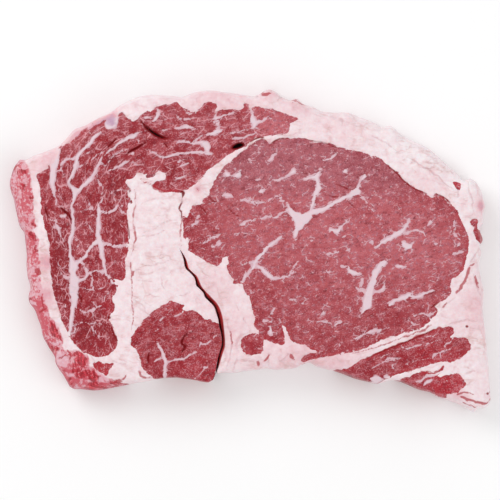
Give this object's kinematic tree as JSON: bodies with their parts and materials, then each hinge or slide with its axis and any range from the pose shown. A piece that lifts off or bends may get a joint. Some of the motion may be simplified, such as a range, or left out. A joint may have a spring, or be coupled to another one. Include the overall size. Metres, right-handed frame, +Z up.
{
  "type": "raw ribeye steak",
  "caption": "Raw slice of beef rib: a round marbled eye, a crescent cap muscle, seam fat between them and a thin tail, lying flat.",
  "frame": {"origin": "middle of the outline's bounding box, on the surface that the steak lies on", "axes": "+X towards the eye muscle and the tail, +Y towards the outer fat edge over the eye, +Z up out of the cut face"},
  "size_m": [0.2199, 0.1473, 0.025],
  "materials": {
    "raw_beef": "moist, satin to glossy"
  },
  "bodies": {
    "root": {"steak": "raw_beef"}
  },
  "joints": []
}
